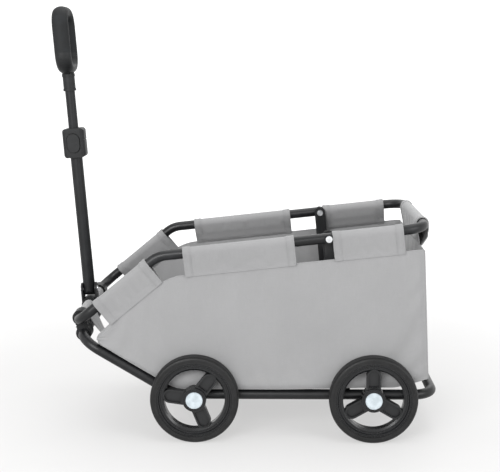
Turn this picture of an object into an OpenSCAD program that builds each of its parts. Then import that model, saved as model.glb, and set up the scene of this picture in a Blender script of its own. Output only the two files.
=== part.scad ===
// Folding pull wagon: a tubular chassis on four wheels, a hinged upper rim that carries a
// fabric tub, two swinging posts and a telescoping pull handle with a loop grip.
// X runs from the handle to the rear, Y across, Z up. Heights are from the ground.
// Lengths along X below are from the front hinge axis, and every piece is then moved back
// by mid_x, which puts the origin under the middle of the whole wagon.

/* [Frame] */
// Outer diameter of the frame tubes
tube_d = 22; // [18:0.5:25]
// Wall of the frame tubes
tube_wall = 1.5; // [1:0.1:2.5]
// Distance between the centres of the two side tubes
frame_w = 390; // [340:5:480]
// Corner radius of the frame, seen from above
corner_r = 48; // [40:1:70]
// Distance from the hinge axis back to the chassis rear crossbar
chassis_len = 773; // [700:1:930]
// Distance from the hinge axis back to the bend of the chassis
chassis_bend_x = 210; // [190:1:225]
// Height of the chassis front crossbar
chassis_nose_z = 217; // [205:1:222]

/* [Rim] */
// Height of the hinge axis, which is also the rim's front crossbar
hinge_z = 252; // [250:1:262]
// Distance from the hinge axis back to the bend of the rim
rim_bend_x = 177; // [160:1:190]
// Height of the rim at its bend
rim_bend_z = 399.5; // [385:0.5:430]
// Distance from the hinge axis back to the rim's rear crossbar
rim_len = 747; // [680:1:860]
// Height of the rim's rear crossbar
rim_rear_z = 462; // [440:1:520]
// Distance from the hinge axis back to the post bolts
bolt_x = 541; // [500:1:570]

/* [Posts] */
// Width of a post, seen from the side
post_w = 26; // [20:1:30]
// Thickness of a post
post_t = 12; // [10:0.5:14]
// Angle by which a post leans back
post_lean = 6; // [4:0.5:8]
// Height of the lower end of a post
post_foot_z = 96; // [94:1:104]

/* [Wheels] */
// Diameter of a wheel
wheel_d = 190; // [170:1:200]
// Width of a tyre
tyre_w = 30; // [24:1:36]
// Distance from the hinge axis back to the front axle
front_axle_x = 255.6; // [245:0.1:275]
// Distance between the axles
wheelbase = 383.4; // [340:0.1:440]
// Diameter of the axle rods
axle_d = 10; // [8:0.5:12]

/* [Tub] */
// Thickness of the fabric
cloth_t = 1.5; // [1:0.1:2.5]
// Distance from the rim tube's centre down to the tub's top edge
flap_drop = 48; // [40:1:60]
// Thickness of the floor board
board_t = 6; // [4:0.5:9]

/* [Handle] */
// Angle by which the handle leans forward
pole_tilt = 4.1; // [0:0.1:8]
// Outer diameter of the lower handle tube
lower_d = 27; // [26:0.5:29]
// Outer diameter of the upper handle tube
upper_d = 22; // [19:0.5:22]
// Distance along the handle from the hinge axis to the lock housing
housing_s = 341; // [300:1:400]
// Distance along the handle from the hinge axis to the neck of the grip
neck_s = 491; // [470:1:560]
// Width of the loop grip
grip_w = 108; // [96:1:130]
// Height of the loop grip above its neck
grip_h = 149; // [130:1:170]

/* [Hidden] */
$fn = 64;
fit = 0.05;              // radial clearance of a running fit
gap = 0.3;               // clearance between pieces that don't bear on each other
swage = 0.05;            // step in radius where a bend meets a straight
lap = 1;                 // length by which they overlap there
tube_r = tube_d / 2;
side_y = frame_w / 2;
rail_z = wheel_d / 2;
rear_axle_x = front_axle_x + wheelbase;
axle_r = axle_d / 2;

// Directions in the XZ plane
slope_a = atan2(rim_bend_z - hinge_z, rim_bend_x);
top_a = atan2(rim_rear_z - rim_bend_z, rim_len - rim_bend_x);
nose_x = 7;
nose_a = atan2(chassis_nose_z - rail_z, chassis_bend_x - nose_x);
function rim_top_z(x) = rim_bend_z + (x - rim_bend_x) * tan(top_a);
function rim_slope_z(x) = hinge_z + x * tan(slope_a);
function nose_slope_z(x) = chassis_nose_z - (x - nose_x) * tan(nose_a);
bolt_z = rim_top_z(bolt_x);

// Wheels: y from the wagon's middle
wheel_gap = 6;           // between a side tube and a wheel
hub_in = side_y + tube_r + wheel_gap;
wheel_y = hub_in + tyre_w / 2;
hub_out = hub_in + tyre_w - 1;
cap_t = 3.5;
bearing_r = 13;
bearing_t = 8;
hub_r = 25.5;
rim_out = wheel_d / 2 - 13;
rim_in = rim_out - 17;
spoke_w = 30;
spoke_rib = 3.5;         // ribs along a spoke's edges
spoke_depth = 6;         // depth of the trough between them
cap_r = 18;
cap_seat = 6;            // depth of the recess that takes the cap
wheel_turn = [52, 90];   // where the first spoke of a front and a rear wheel points

// Posts: the strut stands inboard of the side tubes
washer_t = 1.8;
post_in = side_y - tube_r - 0.3 - washer_t;
post_len = (bolt_z - post_foot_z) / cos(post_lean);
bolt_r = 4;

// Tub
cloth_in = side_y + tube_r + gap;
sleeve_r = tube_r + gap + cloth_t;
floor_z = rail_z + tube_r + 0.4;
board_z = floor_z + cloth_t + gap;
board_half = post_in - post_t - 5;
tub_rear_low = chassis_len - 15;
tub_rear_top = rim_len - 5;
tub_nose_x = 48;
chassis_bend_r = 80;
floor_off = tube_r + 0.4;         // from the rails' centre line to the fabric floor
tub_front_low = nose_slope_z(tub_nose_x) + floor_off / cos(nose_a);
floor_bend = [chassis_bend_x, rail_z] + chassis_bend_r * tan(nose_a / 2) * [-cos(nose_a), sin(nose_a)]
  + floor_off * [sin(nose_a), cos(nose_a)];
floor_flat_x = chassis_bend_x + chassis_bend_r * tan(nose_a / 2);
floor_lift = 22;         // how far the floor's rear edge is drawn up off the rails
lift_x = tub_rear_low - 75;       // where the floor starts to rise, and the board ends
side_low = floor_z + cloth_t + 0.1;

// Handle: s runs along the handle from the hinge axis
lower_r = lower_d / 2;
lower_wall = 1.2;
lower_bore = lower_r - lower_wall;
upper_r = upper_d / 2;
collar_r = 17.5;
collar_half = 23;
pin_s = 33;
pin_r = 4;
flank_t = 4;
flank_x = lower_r + 0.2;
foot_top_s = 48;
housing_h = 66;
housing_w = 50;
housing_t = 42;
bush_len = 40;
upper_low_s = 142;
neck_h = 38;
neck_r = 14.5;
grip_s = neck_s + neck_h;
grip_r = 13;             // half the width of the grip's bar, across
grip_deep = 1.4;         // its thickness along X, as a share of its width
grip_skin = 2;
grip_half = grip_w / 2 - grip_r;
grip_bend_r = 30;
grip_ends = [grip_s + grip_h - grip_r, grip_s + grip_r];
cover_s = grip_ends[1] + grip_bend_r + 4;   // where the soft cover starts

// The hinge blocks and the fabric sleeves share the rim's front crossbar
block_y = [116, 148];
block_r = 17;
sleeve_y = [collar_half + 4, 110];
strap_y = [96, 135];     // where a front strap meets the tub's nose

grip_front = grip_ends[0] * sin(pole_tilt) + grip_r * grip_deep;
mid_x = (chassis_len + tube_r - grip_front) / 2;

// ---------- helpers ----------

function unit(v) = v / norm(v);

// Puts the child's Z axis along d, with its origin at p
module stand(p, d) {
  z = unit(d);
  x = abs(z.y) < 0.9 ? unit(cross([0, 1, 0], z)) : unit(cross([0, 0, 1], z));
  y = cross(z, x);
  multmatrix([[x.x, y.x, z.x, p.x], [x.y, y.y, z.y, p.y], [x.z, y.z, z.z, p.z], [0, 0, 0, 1]])
    children();
}

module tube_section(r, wall) {
  difference() {
    circle(r);
    circle(r - wall);
  }
}

// A closed loop of round bar through points, with a bend radius at each. The bends are drawn
// thinner than the straights by swage, and reach into them by lap.
module bent_loop(points, radii, r) {
  n = len(points);
  dirs = [for (i = [0 : n - 1]) unit(points[(i + 1) % n] - points[i])];
  turns = [for (i = [0 : n - 1]) acos(dirs[(i + n - 1) % n] * dirs[i])];
  cuts = [for (i = [0 : n - 1]) radii[i] * tan(turns[i] / 2) - lap];
  for (i = [0 : n - 1]) {
    u = dirs[(i + n - 1) % n];
    v = dirs[i];
    j = (i + 1) % n;
    stand(points[i] + v * cuts[i], v)
      cylinder(h = norm(points[j] - points[i]) - cuts[i] - cuts[j], r = r);
    c = points[i] + unit(v - u) * radii[i] / cos(turns[i] / 2);
    x = unit(points[i] - u * (cuts[i] + lap) - c);
    z = cross(x, u);
    multmatrix([[x.x, u.x, z.x, c.x], [x.y, u.y, z.y, c.y], [x.z, u.z, z.z, c.z], [0, 0, 0, 1]])
      rotate_extrude(angle = turns[i]) translate([radii[i], 0]) circle(r - swage);
  }
}

// The same loop as a tube
module bent_ring(points, radii) {
  difference() {
    bent_loop(points, radii, tube_r);
    bent_loop(points, radii, tube_r - tube_wall);
  }
}

// A cylinder along Y between two distances
module rod_y(x, z, y0, y1, r) {
  translate([x, y0, z]) rotate([-90, 0, 0]) cylinder(h = y1 - y0, r = r);
}

// A plate parallel to XZ: the outline is given as [x, z], and it fills y0 to y1
module plate_xz(y0, y1) {
  translate([0, y1, 0]) rotate([90, 0, 0]) linear_extrude(y1 - y0) children();
}

module both_sides() {
  children();
  mirror([0, 1, 0]) children();
}

module rounded_box2(w, h, r) {
  square([w - 2 * r, h], center = true);
  square([w, h - 2 * r], center = true);
  for (x = [-1, 1], y = [-1, 1])
    translate([x * (w / 2 - r), y * (h / 2 - r)]) circle(r);
}

// Places the child in the handle's own frame: Z along the handle
module on_pole() {
  translate([0, 0, hinge_z]) rotate([0, -pole_tilt, 0]) children();
}

module placed() {
  translate([-mid_x, 0, 0]) children();
}

// ---------- chassis ----------

module chassis_ring() {
  points = [
    [chassis_len, -side_y, rail_z], [chassis_len, side_y, rail_z],
    [chassis_bend_x, side_y, rail_z], [nose_x, side_y, chassis_nose_z],
    [nose_x, -side_y, chassis_nose_z], [chassis_bend_x, -side_y, rail_z]
  ];
  radii = [corner_r, corner_r, chassis_bend_r, corner_r, corner_r, chassis_bend_r];
  color("#26272a") difference() {
    bent_ring(points, radii);
    for (x = [front_axle_x, rear_axle_x])
      rod_y(x, rail_z, -side_y - tube_r - 1, side_y + tube_r + 1, axle_r + fit);
  }
}

// Cross tubes between the rails, which the axle rods pass through
module axle_tubes() {
  end = side_y - tube_r - 0.1;
  color("#26272a") for (x = [front_axle_x, rear_axle_x]) difference() {
    rod_y(x, rail_z, -end, end, tube_r);
    rod_y(x, rail_z, -end - 1, end + 1, axle_r + 1);
  }
}

module axle(x) {
  end = hub_out - cap_seat + 5.5;
  color("#9a9ca0") rod_y(x, rail_z, -end, end, axle_r);
}

module axle_spacers() {
  color("#2e2f32") both_sides() for (x = [front_axle_x, rear_axle_x]) difference() {
    rod_y(x, rail_z, side_y + tube_r + 0.1, hub_in - 0.1, 8.5);
    rod_y(x, rail_z, side_y, hub_in + 1, axle_r + fit);
  }
}

module axle_nuts() {
  y0 = hub_out - cap_seat + 0.1;
  color("#a8aaad") both_sides() for (x = [front_axle_x, rear_axle_x])
    translate([x, y0, rail_z]) rotate([-90, 0, 0]) difference() {
      cylinder(h = 5, r = 8.6, $fn = 6);
      translate([0, 0, -1]) cylinder(h = 7, r = axle_r);
    }
}

// Figure-8 clamp on the chassis crossbar that carries the rim crossbar, split along its long axis
module hinge_block() {
  link = [nose_x, chassis_nose_z - hinge_z];
  lean = atan2(link.y, link.x);
  plate_xz(block_y[0], block_y[1]) translate([0, hinge_z]) {
    circle(block_r);
    translate(link) circle(block_r);
    rotate(lean) translate([0, -12.5]) square([norm(link), 25]);
  }
}

module hinge_bores() {
  rod_y(0, hinge_z, block_y[0] - 1, block_y[1] + 1, tube_r + fit);
  rod_y(nose_x, chassis_nose_z, block_y[0] - 1, block_y[1] + 1, tube_r + fit);
}

hinge_mid = [nose_x / 2, (hinge_z + chassis_nose_z) / 2];

// Turns the child so that its Y axis of the XZ plane runs from crossbar to crossbar
module at_hinge_mid() {
  translate([hinge_mid.x, 0, hinge_mid.y])
    rotate([0, atan2(nose_x, hinge_z - chassis_nose_z) * -1, 0]) children();
}

module hinge_screw_holes(r) {
  for (y = block_y) {
    inset = y == block_y[0] ? 8 : -8;
    at_hinge_mid() translate([-30, y + inset, 0]) rotate([0, 90, 0]) cylinder(h = 60, r = r);
  }
}

module hinge_half(front) {
  color("#1d1e20") both_sides() difference() {
    hinge_block();
    hinge_bores();
    hinge_screw_holes(2.1);
    at_hinge_mid() translate([front ? -0.05 : -60.05, 0, -60]) cube([60.1, 200, 120]);
  }
}

module hinge_front_halves() hinge_half(true);

module hinge_rear_halves() hinge_half(false);

module hinge_screws() {
  color("#77797c") both_sides() for (y = [block_y[0] + 8, block_y[1] - 8])
    at_hinge_mid() translate([0, y, 0]) {
      translate([-12.4, 0, 0]) rotate([0, 90, 0]) cylinder(h = 24.8, r = 2);
      translate([-15, 0, 0]) rotate([0, 90, 0]) cylinder(h = 2.4, r = 3.8);
    }
}

// Channels on the rails that hold the feet of the posts
module post_catches() {
  wall = 1.5;
  depth = post_w / 2 + gap;
  far = post_in + gap + wall;
  color("#1d1e20") both_sides()
    translate([bolt_x, 0, bolt_z]) rotate([0, -post_lean, 0]) difference() {
      translate([-6, post_in - post_t - gap - wall, -post_len - 2])
        cube([6 + depth + 2.5, post_t + 2 * gap + 2 * wall, 46]);
      translate([-7, post_in - post_t - gap, -post_len - 3])
        cube([7 + depth, post_t + 2 * gap, 48]);
    }
}

// ---------- tub ----------

module floor_board() {
  x0 = floor_flat_x + 2;
  color("#55575a") difference() {
    translate([x0, -board_half, board_z]) cube([lift_x - x0, 2 * board_half, board_t]);
    for (y = [-1, 1])
      translate([x0 + 40, y * (board_half - 30), board_z - 1]) cylinder(h = board_t + 2, r = 9);
  }
}

// The fabric floor: flat on the rails, up the front slope, a little up at the rear, and with a
// slit for each post
module tub_floor() {
  slit_x = bolt_x + (bolt_z - floor_z) * tan(post_lean);
  half = cloth_in + cloth_t;
  color("#a9aaac") difference() {
    plate_xz(-half, half) polygon([
      [tub_rear_low, floor_z + floor_lift], [lift_x, floor_z], [floor_flat_x, floor_z],
      floor_bend, [tub_nose_x, tub_front_low],
      [tub_nose_x, tub_front_low + cloth_t / cos(nose_a)], floor_bend + [0.4, cloth_t],
      [floor_flat_x + 0.2, floor_z + cloth_t], [lift_x, floor_z + cloth_t],
      [tub_rear_low, floor_z + floor_lift + cloth_t]
    ]);
    for (y = [-1, 1])
      translate([slit_x + 1, y * (post_in - post_t / 2), floor_z])
        cube([post_w + 24, post_t + 6, 12], center = true);
  }
}

// One side of the tub, hung below the rim and standing on the floor's edge
module tub_side(y0) {
  drop = flap_drop / cos(slope_a);
  meet_x = rim_bend_x + flap_drop * tan((slope_a - top_a) / 2) + 6;
  top_drop = flap_drop / cos(top_a);
  rise = cloth_t / cos(nose_a) + 0.1;
  color("#b0b1b3") plate_xz(y0, y0 + cloth_t) polygon([
    [tub_nose_x, tub_front_low + rise],
    floor_bend + [0.5, cloth_t + 0.2],
    [floor_flat_x + 0.4, side_low],
    [lift_x - 60, side_low],
    [lift_x + 20, side_low + floor_lift / 2],
    [tub_rear_low - 0.5, side_low + floor_lift + 0.2],
    [tub_rear_top - 0.5, rim_top_z(tub_rear_top) - top_drop],
    [meet_x + 10, rim_top_z(meet_x + 10) - top_drop],
    [meet_x, rim_slope_z(meet_x - 6) - drop],
    [tub_nose_x + 8, rim_slope_z(tub_nose_x + 8) - drop - 3],
    [tub_nose_x, rim_slope_z(tub_nose_x) - drop - 8]
  ]);
}

module tub_left() tub_side(-cloth_in - cloth_t);

module tub_right() tub_side(cloth_in);

// The two fabric straps from the tub's nose up to the sleeves on the crossbar, wide apart for the
// handle
module tub_front() {
  low = [tub_nose_x - 1.5, tub_front_low + cloth_t + 1];
  high = [sleeve_r + 0.6, hinge_z - 2];
  along = unit(high - low);
  thick = cloth_t * [along.y, -along.x];
  wide = cloth_in - gap;
  color("#9c9da0") intersection() {
    plate_xz(-wide, wide) polygon([low, high, high + thick, low + thick]);
    both_sides() translate([0, 0, chassis_nose_z - 50]) linear_extrude(120) polygon([
      [high.x - 3, sleeve_y[0]], [high.x + 4, sleeve_y[0]], [low.x - 9, strap_y[0] - 8],
      [low.x + 6, strap_y[0]], [low.x + 6, strap_y[1]], [low.x - 6, strap_y[1] - 4],
      [high.x + 5, sleeve_y[1]], [high.x - 3, sleeve_y[1]]
    ]);
  }
}

module tub_rear() {
  low = floor_z + floor_lift;
  high = rim_top_z(tub_rear_top) - flap_drop;
  half = cloth_in + cloth_t;
  color("#a4a5a8") plate_xz(-half, half) polygon([
    [tub_rear_low + 0.1, low], [tub_rear_low + 0.1 + cloth_t, low],
    [tub_rear_low + 0.1 + cloth_t, low + 5],
    [tub_rear_top + 0.1 + cloth_t, high], [tub_rear_top + 0.1, high],
    [tub_rear_low + 0.1, low + 5]
  ]);
}

// ---------- rim ----------

module rim_ring() {
  points = [
    [rim_len, -side_y, rim_rear_z], [rim_len, side_y, rim_rear_z],
    [rim_bend_x, side_y, rim_bend_z], [0, side_y, hinge_z],
    [0, -side_y, hinge_z], [rim_bend_x, -side_y, rim_bend_z]
  ];
  radii = [corner_r, corner_r, 60, corner_r - 6, corner_r - 6, 60];
  color("#222326") difference() {
    bent_ring(points, radii);
    both_sides() rod_y(bolt_x, bolt_z, side_y - tube_r - 1, side_y + tube_r + 1, bolt_r + fit);
  }
}

// Pivot bolts: head outside, shank through the rim tube and the post
module pivot_bolts() {
  head_y = side_y + tube_r + 3.2;
  color("#d4d6d8") both_sides() {
    rod_y(bolt_x, bolt_z, post_in - post_t - 6, head_y, bolt_r);
    difference() {
      rod_y(bolt_x, bolt_z, head_y, head_y + 3.4, 7);
      for (a = [0, 90])
        translate([bolt_x, head_y + 3.4, bolt_z]) rotate([0, a, 0]) cube([7, 3.6, 1.4], center = true);
    }
  }
}

module pivot_nuts() {
  y0 = post_in - post_t - 5.3;
  color("#d4d6d8") both_sides() difference() {
    rod_y(bolt_x, bolt_z, y0, y0 + 5, 7);
    rod_y(bolt_x, bolt_z, y0 - 1, y0 + 6, bolt_r);
  }
}

// Plastic cap outside the tube and a washer inside it, at each pivot
module pivot_caps() {
  color("#1d1e20") both_sides() difference() {
    union() {
      rod_y(bolt_x, bolt_z, side_y + tube_r + 0.1, side_y + tube_r + 3.1, tube_r - 0.5);
      rod_y(bolt_x, bolt_z, post_in + 0.15, side_y - tube_r - 0.1, 6);
    }
    rod_y(bolt_x, bolt_z, post_in - 1, side_y + tube_r + 4, bolt_r + fit);
    translate([bolt_x + 7.5, side_y, bolt_z - 20]) cube([20, 40, 40]);
  }
}

// Section of a fabric sleeve that hangs from a tube: outward is +X, up is +Y
module sleeve_section(outer, drop) {
  r = tube_r + gap + (outer ? cloth_t : 0);
  hull() {
    circle(r, $fn = 32);
    translate([r - cloth_t - 0.5, -drop]) square([cloth_t + 0.5, 1]);
  }
}

// A sleeve of the given length along Z, hanging towards -Y
module sleeve(length, drop) {
  difference() {
    linear_extrude(length) sleeve_section(true, drop);
    translate([0, 0, -1]) linear_extrude(length + 2) sleeve_section(false, drop - cloth_t);
  }
}

// Places a sleeve on the right side tube: a is the tube's slope, (x, z) a point on it
module on_side(x, z, a) {
  translate([x, side_y, z]) rotate([0, -a, 0]) rotate([90, 0, 90]) children();
}

flap_1 = [58, 205];                       // along the slope, from the hinge axis
flap_2 = [231.5, 465];                    // along X
flap_3 = [549, 698];

module flaps() {
  on_side(flap_1[0] * cos(slope_a), hinge_z + flap_1[0] * sin(slope_a), slope_a)
    sleeve(flap_1[1] - flap_1[0], flap_drop + 2);
  for (span = [flap_2, flap_3])
    on_side(span[0], rim_top_z(span[0]), top_a)
      sleeve((span[1] - span[0]) / cos(top_a), flap_drop - 0.3);
}

module flaps_right() color("#b4b5b7") flaps();

module flaps_left() color("#b4b5b7") mirror([0, 1, 0]) flaps();

module flap_rear() {
  half = side_y - corner_r - 12;
  color("#b4b5b7") translate([rim_len, half, rim_rear_z]) rotate([90, 0, 0])
    sleeve(2 * half, flap_drop - 1);
}

module sleeves_front() {
  color("#b4b5b7") both_sides() difference() {
    rod_y(0, hinge_z, sleeve_y[0], sleeve_y[1], sleeve_r);
    rod_y(0, hinge_z, sleeve_y[0] - 1, sleeve_y[1] + 1, tube_r + gap);
  }
}

// ---------- posts ----------

// A flattened tube with rounded ends and a pivot hole
module post() {
  y0 = post_in - post_t;
  color("#222326") translate([bolt_x, 0, bolt_z]) rotate([0, -post_lean, 0]) difference() {
    intersection() {
      plate_xz(y0, post_in) {
        circle(post_w / 2);
        translate([-post_w / 2, -post_len + 4]) square([post_w, post_len - 4]);
        translate([0, -post_len + 4]) intersection() {
          circle(post_w / 2);
          square([post_w, 8], center = true);
        }
      }
      translate([0, y0 + post_t / 2, -post_len - 20]) linear_extrude(post_len + 60)
        rounded_box2(post_w, post_t, post_t / 2 - 0.5);
    }
    translate([0, y0 + post_t / 2, -post_len - 20]) linear_extrude(post_len + 60)
      rounded_box2(post_w - 3, post_t - 3, post_t / 2 - 2);
    rod_y(0, 0, y0 - 1, post_in + 1, bolt_r + fit);
  }
}

module post_right() post();

module post_left() mirror([0, 1, 0]) post();

// ---------- wheels ----------

// Places a wheel drawn about Z, with +Z pointing outwards from y = 0
module at_wheel(x, side) {
  translate([x, 0, rail_z]) rotate([-90 * side, 0, 0]) children();
}

module tyre() {
  mid = hub_in + tyre_w / 2;
  r = wheel_d / 2;
  edge = 6;
  color("#1b1c1d") rotate_extrude() translate([0, mid]) {
    translate([rim_out - 3, -tyre_w / 2 + 6]) square([6, tyre_w - 12]);
    translate([rim_out + 0.1, -tyre_w / 2]) square([r - rim_out - edge - 0.1, tyre_w]);
    translate([rim_out + 2, -tyre_w / 2 + edge]) square([r - rim_out - 2, tyre_w - 2 * edge]);
    for (y = [-1, 1]) translate([r - edge, y * (tyre_w / 2 - edge)]) circle(edge);
  }
}

module spoke() {
  z0 = hub_in + 7;
  z1 = hub_out - 5;
  end = rim_in - spoke_w / 2 + 3;
  difference() {
    union() {
      translate([hub_r - 4, -spoke_w / 2, z0]) cube([end - hub_r + 4, spoke_w, z1 - z0]);
      translate([end, 0, z0]) cylinder(h = z1 - z0, r = spoke_w / 2);
    }
    translate([hub_r + 3, -spoke_w / 2 + spoke_rib, z1 - spoke_depth])
      cube([end - hub_r - 3, spoke_w - 2 * spoke_rib, spoke_depth + 1]);
    translate([end, 0, z1 - spoke_depth]) cylinder(h = spoke_depth + 1, r = spoke_w / 2 - spoke_rib);
  }
}

module wheel_rim(turn) {
  mid = hub_in + tyre_w / 2;
  seat = tyre_w / 2 - 6;
  lip = tyre_w / 2 - 2;
  color("#232427") difference() {
    union() {
      rotate_extrude() translate([0, mid]) polygon([
        [rim_in, -lip + 2], [rim_in + 3, -lip], [rim_out, -lip], [rim_out, -seat - 0.1],
        [rim_out - 3.1, -seat - 0.1], [rim_out - 3.1, seat + 0.1], [rim_out, seat + 0.1],
        [rim_out, lip], [rim_out - 5, lip], [rim_out - 7, lip - 3], [rim_in + 4, lip - 3],
        [rim_in, lip - 6]
      ]);
      translate([0, 0, hub_in + 0.1]) cylinder(h = hub_out - hub_in - 0.1, r = hub_r);
      for (i = [0 : 2]) rotate(turn + 120 * i) spoke();
    }
    translate([0, 0, hub_in - 1]) cylinder(h = tyre_w + 2, r = bearing_r - 2);
    translate([0, 0, hub_in - 1]) cylinder(h = 1.1 + bearing_t, r = bearing_r);
    translate([0, 0, hub_out - cap_seat - bearing_t]) cylinder(h = 30, r = bearing_r);
    translate([0, 0, hub_out - cap_seat]) cylinder(h = 10, r = cap_r - 0.5);
  }
}

module bearings() {
  color("#8e9093") for (z = [hub_in + 0.1, hub_out - cap_seat - bearing_t])
    translate([0, 0, z]) difference() {
      cylinder(h = bearing_t, r = bearing_r);
      translate([0, 0, -1]) cylinder(h = bearing_t + 2, r = axle_r + fit);
    }
}

module hub_cap() {
  color("#d9dbdd") difference() {
    union() {
      translate([0, 0, hub_out + 0.1]) cylinder(h = cap_t - 1, r = cap_r);
      translate([0, 0, hub_out + cap_t - 0.9]) cylinder(h = 0.9, r = cap_r - 1);
      translate([0, 0, hub_out - cap_seat + 0.6]) cylinder(h = cap_seat, r = cap_r - 0.5);
    }
    translate([0, 0, hub_out - cap_seat]) cylinder(h = cap_seat + 1, r = cap_r - 2.5);
  }
}

module front_left_tyre() at_wheel(front_axle_x, -1) tyre();

module front_left_rim() at_wheel(front_axle_x, -1) wheel_rim(wheel_turn[0]);

module front_left_bearings() at_wheel(front_axle_x, -1) bearings();

module front_left_cap() at_wheel(front_axle_x, -1) hub_cap();

module front_right_tyre() at_wheel(front_axle_x, 1) tyre();

module front_right_rim() at_wheel(front_axle_x, 1) wheel_rim(wheel_turn[0]);

module front_right_bearings() at_wheel(front_axle_x, 1) bearings();

module front_right_cap() at_wheel(front_axle_x, 1) hub_cap();

module rear_left_tyre() at_wheel(rear_axle_x, -1) tyre();

module rear_left_rim() at_wheel(rear_axle_x, -1) wheel_rim(wheel_turn[1]);

module rear_left_bearings() at_wheel(rear_axle_x, -1) bearings();

module rear_left_cap() at_wheel(rear_axle_x, -1) hub_cap();

module rear_right_tyre() at_wheel(rear_axle_x, 1) tyre();

module rear_right_rim() at_wheel(rear_axle_x, 1) wheel_rim(wheel_turn[1]);

module rear_right_bearings() at_wheel(rear_axle_x, 1) bearings();

module rear_right_cap() at_wheel(rear_axle_x, 1) hub_cap();

// ---------- handle ----------

screw_x = tube_r + 3.2;

module collar_bore() {
  rotate([90, 0, 0]) cylinder(h = 4 * collar_half, r = tube_r + fit, center = true);
}

module collar_screw_holes(r) {
  for (x = [-1, 1], y = [-1, 1])
    translate([x * screw_x, y * (collar_half - 7), -25]) cylinder(h = 37, r = r);
}

// Upper half of the collar, with two flanks that hold the handle's foot
module handle_fork() {
  color("#1f2023") on_pole() difference() {
    union() {
      intersection() {
        rotate([90, 0, 0]) cylinder(h = 2 * collar_half, r = collar_r, center = true);
        translate([-30, -30, 0.05]) cube([60, 60, 40]);
      }
      for (x = [-1, 1])
        translate([x > 0 ? flank_x : -flank_x - flank_t, 0, 0]) {
          translate([0, -15, 2]) cube([flank_t, 30, pin_s]);
          translate([0, 0, pin_s]) rotate([0, 90, 0]) cylinder(h = flank_t, r = 15);
        }
    }
    collar_bore();
    collar_screw_holes(1.8);
    translate([-40, 0, pin_s]) rotate([0, 90, 0]) cylinder(h = 80, r = pin_r);
  }
}

module collar_cap() {
  color("#1f2023") on_pole() difference() {
    intersection() {
      rotate([90, 0, 0]) cylinder(h = 2 * collar_half, r = collar_r, center = true);
      translate([-30, -30, -40]) cube([60, 60, 39.95]);
    }
    collar_bore();
    collar_screw_holes(1.8);
  }
}

module collar_screws() {
  color("#77797c") on_pole() for (x = [-1, 1], y = [-1, 1])
    translate([x * screw_x, y * (collar_half - 7), -9.5]) cylinder(h = 18, r = 1.75);
}

module fork_pin() {
  end = flank_x + flank_t;
  color("#8e9093") on_pole() translate([0, 0, pin_s]) rotate([0, 90, 0]) {
    translate([0, 0, -end - 0.1]) cylinder(h = 2 * end + 0.2, r = pin_r - fit);
    for (z = [-end - 2.2, end + 0.2]) translate([0, 0, z]) cylinder(h = 2, r = 6);
    for (z = [-end - 0.3, end]) translate([0, 0, z]) cylinder(h = 0.3, r = pin_r - fit);
  }
}

// Rounded foot of the lower tube: it turns sideways on the fork pin
module lower_foot() {
  color("#1f2023") on_pole() difference() {
    union() {
      intersection() {
        translate([0, 0, pin_s - lower_r]) cylinder(h = foot_top_s - pin_s + lower_r, r = lower_r);
        translate([-30, 0, pin_s]) rotate([0, 90, 0]) union() {
          cylinder(h = 60, r = lower_r);
          translate([-40, -lower_r, 0]) cube([40, 2 * lower_r, 60]);
        }
      }
      translate([0, 0, foot_top_s - 1]) cylinder(h = 11, r = lower_bore);
    }
    translate([-30, 0, pin_s]) rotate([0, 90, 0]) cylinder(h = 60, r = pin_r);
  }
}

module lower_tube() {
  top = housing_s + 12;
  color("#232427") on_pole() translate([0, 0, foot_top_s + 0.1])
    linear_extrude(top - foot_top_s - 0.1) tube_section(lower_r, lower_wall);
}

module guide_bush() {
  top = housing_s + 11;
  color("#3a3b3e") on_pole() translate([0, 0, top - bush_len]) difference() {
    cylinder(h = bush_len, r = lower_bore);
    translate([0, 0, -1]) cylinder(h = bush_len + 2, r = upper_r + fit);
  }
}

button_s = housing_s + 33;
button_w = 27;
button_h = 42;

// Outline of the button and its recess: w wide and h tall, with round ends
module oval2(w, h) {
  square([w, h - w], center = true);
  for (y = [-1, 1]) translate([0, y * (h - w) / 2]) circle(w / 2);
}

// Places an outline on the housing's left face: it fills y0 to y1
module on_left_face(y0, y1) {
  translate([0, y1, button_s]) rotate([90, 0, 0]) linear_extrude(y1 - y0) children();
}

module housing_body() {
  intersection() {
    translate([0, housing_t / 2, housing_s + housing_h / 2]) rotate([90, 0, 0])
      linear_extrude(housing_t) rounded_box2(housing_w, housing_h, 9);
    translate([0, 0, housing_s - 1]) linear_extrude(housing_h + 2)
      rounded_box2(housing_w, housing_t, 10);
  }
}

module housing_cavity() {
  translate([0, 0, housing_s - 1]) cylinder(h = 13.1, r = lower_r);
  translate([0, 0, housing_s + 10]) cylinder(h = housing_h, r = upper_r + 0.5);
  on_left_face(-housing_t / 2 - 1, -housing_t / 2 + 1.5) oval2(button_w + 4, button_h + 4);
  on_left_face(-housing_t / 2 - 1, -housing_t / 2 + 6)
    oval2(button_w + 2 * gap, button_h + 2 * gap);
  on_left_face(-housing_t / 2 - 1, -upper_r + 4.5) oval2(17, 26);
  translate([housing_w / 2 - 1.5, -30, housing_s + 38]) cube([4, 60, 2.4]);
}

module housing_screw_places() {
  for (x = [-1, 1], z = [9, housing_h - 9])
    translate([x * (housing_w / 2 - 7), 0, housing_s + z]) rotate([90, 0, 0]) children();
}

module lock_housing_left() {
  color("#1f2023") on_pole() difference() {
    housing_body();
    housing_cavity();
    translate([-50, -0.05, 0]) cube([100, 50, 600]);
    housing_screw_places() translate([0, 0, -1]) cylinder(h = 13, r = 1.5);
  }
}

module lock_housing_right() {
  color("#1f2023") on_pole() difference() {
    housing_body();
    housing_cavity();
    translate([-50, -49.95, 0]) cube([100, 50, 600]);
    housing_screw_places() {
      translate([0, 0, -14]) cylinder(h = 16, r = 1.8);
      translate([0, 0, -30]) cylinder(h = 16, r = 3.4);
    }
  }
}

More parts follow.
